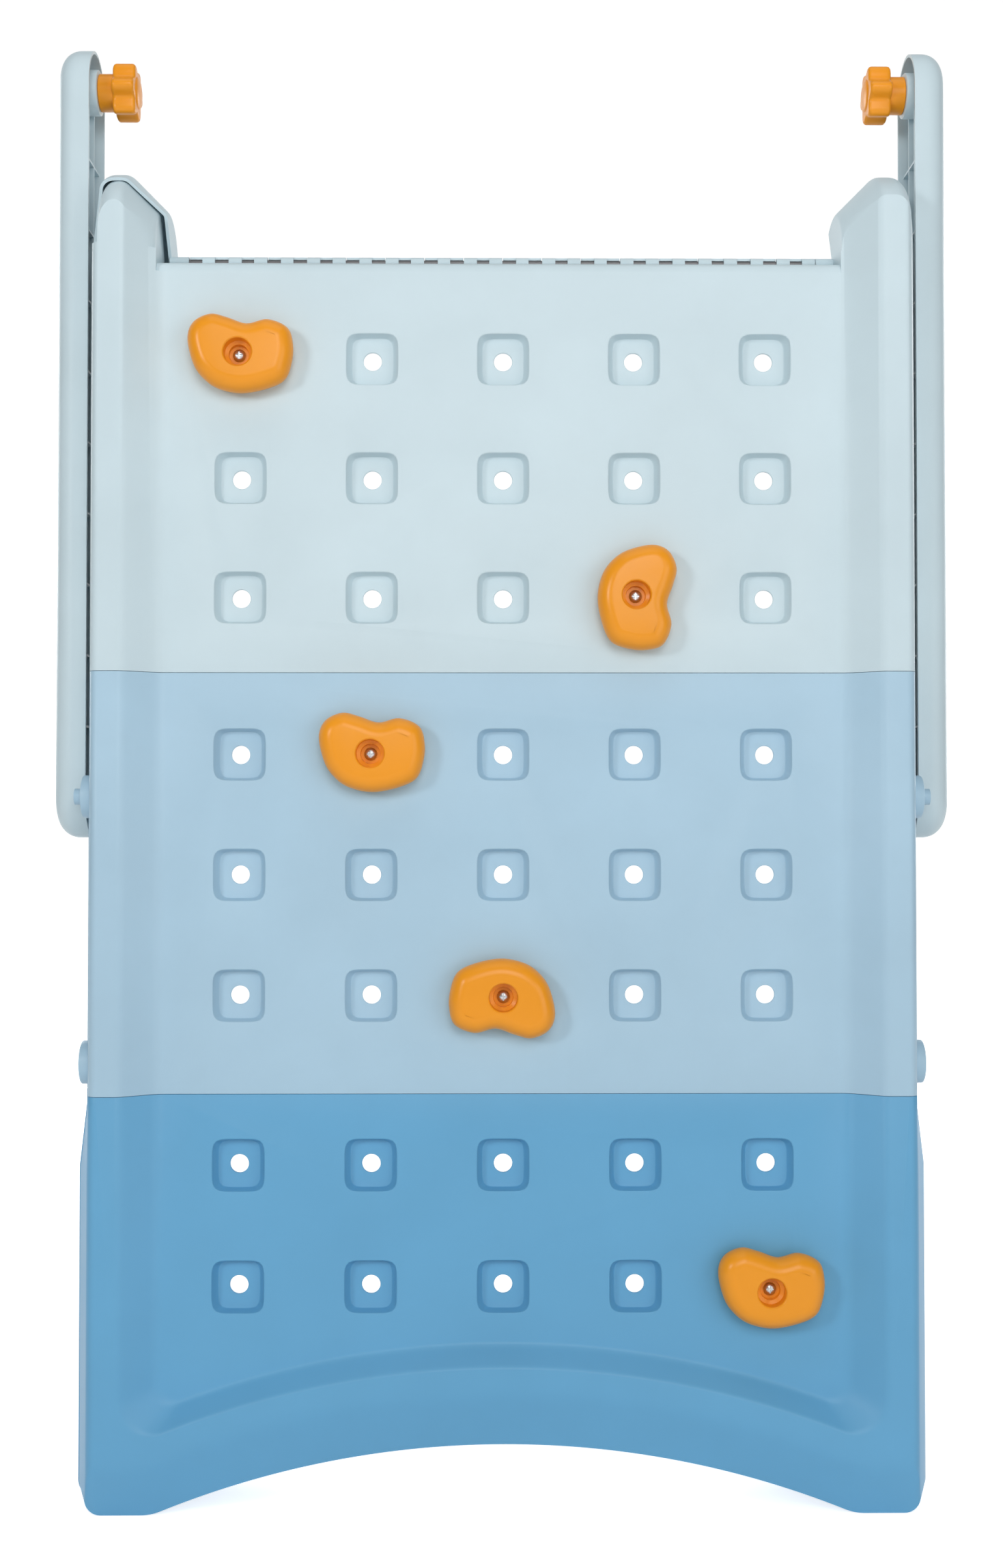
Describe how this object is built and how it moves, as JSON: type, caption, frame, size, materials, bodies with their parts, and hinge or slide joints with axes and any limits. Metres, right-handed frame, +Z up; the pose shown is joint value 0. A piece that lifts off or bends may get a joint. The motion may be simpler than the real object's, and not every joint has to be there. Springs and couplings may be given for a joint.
{
  "type": "folding climbing wall",
  "caption": "Folding climbing wall of screwed mouldings with bolt-on holds, hinged along the top to a matching rear frame, with swinging lock arms and knobs.",
  "frame": {"origin": "on the floor, midway across the object and in the plane between the two walls", "axes": "+X to the right of a person facing the climbing face, -Y out of the climbing face, +Z up"},
  "size_m": [1.046, 0.1723, 1.6961],
  "materials": {
    "pale_blue": "pale blue, fine satin moulding",
    "middle_blue": "light blue, fine satin moulding",
    "deep_blue": "strong blue, fine satin moulding",
    "orange": "orange, half gloss",
    "steel": "zinc plated"
  },
  "bodies": {
    "rear_frame": {"rear_top": "pale_blue", "rear_middle": "middle_blue", "rear_bottom": "deep_blue", "rear_upper_seam_screw_1": "steel", "rear_upper_seam_screw_2": "steel", "rear_lower_seam_screw_1": "steel", "rear_lower_seam_screw_2": "steel", "hinge_rod": "steel", "left_pivot_pin": "steel", "right_pivot_pin": "steel"},
    "front_wall": {"front_top": "pale_blue", "front_middle": "middle_blue", "front_bottom": "deep_blue", "front_upper_seam_screw_1": "steel", "front_upper_seam_screw_2": "steel", "front_lower_seam_screw_1": "steel", "front_lower_seam_screw_2": "steel", "hold_top_left": "orange", "hold_top_right": "orange", "hold_middle_left": "orange", "hold_middle_low": "orange", "hold_bottom_right": "orange", "hold_bolt_top_left": "steel", "hold_bolt_top_right": "steel", "hold_bolt_middle_left": "steel", "hold_bolt_middle_low": "steel", "hold_bolt_bottom_right": "steel", "hold_nut_top_left": "steel", "hold_nut_top_right": "steel", "hold_nut_middle_left": "steel", "hold_nut_middle_low": "steel", "hold_nut_bottom_right": "steel"},
    "left_arm": {"left_arm": "pale_blue"},
    "right_arm": {"right_arm": "pale_blue"},
    "left_knob": {"left_knob": "orange"},
    "right_knob": {"right_knob": "orange"}
  },
  "joints": [
    {"name": "wall_fold", "type": "hinge", "parent": "rear_frame", "child": "front_wall", "pos_m": [0, 0, 1.434], "axis": [-1, 0, 0], "range_deg": [0, 56.2]},
    {"name": "left_arm_swing", "type": "hinge", "parent": "rear_frame", "child": "left_arm", "pos_m": [-0.4805, 0.037, 0.8065], "axis": [1, 0, 0], "range_deg": [0, 80.39]},
    {"name": "right_arm_swing", "type": "hinge", "parent": "rear_frame", "child": "right_arm", "pos_m": [0.4805, 0.037, 0.8065], "axis": [1, 0, 0], "range_deg": [0, 80.39]},
    {"name": "left_knob_turn", "type": "hinge", "parent": "left_arm", "child": "left_knob", "pos_m": [-0.4625, 0.037, 1.64913], "axis": [-1, 0, 0], "continuous": true},
    {"name": "right_knob_turn", "type": "hinge", "parent": "right_arm", "child": "right_knob", "pos_m": [0.4625, 0.037, 1.64913], "axis": [1, 0, 0], "continuous": true}
  ]
}
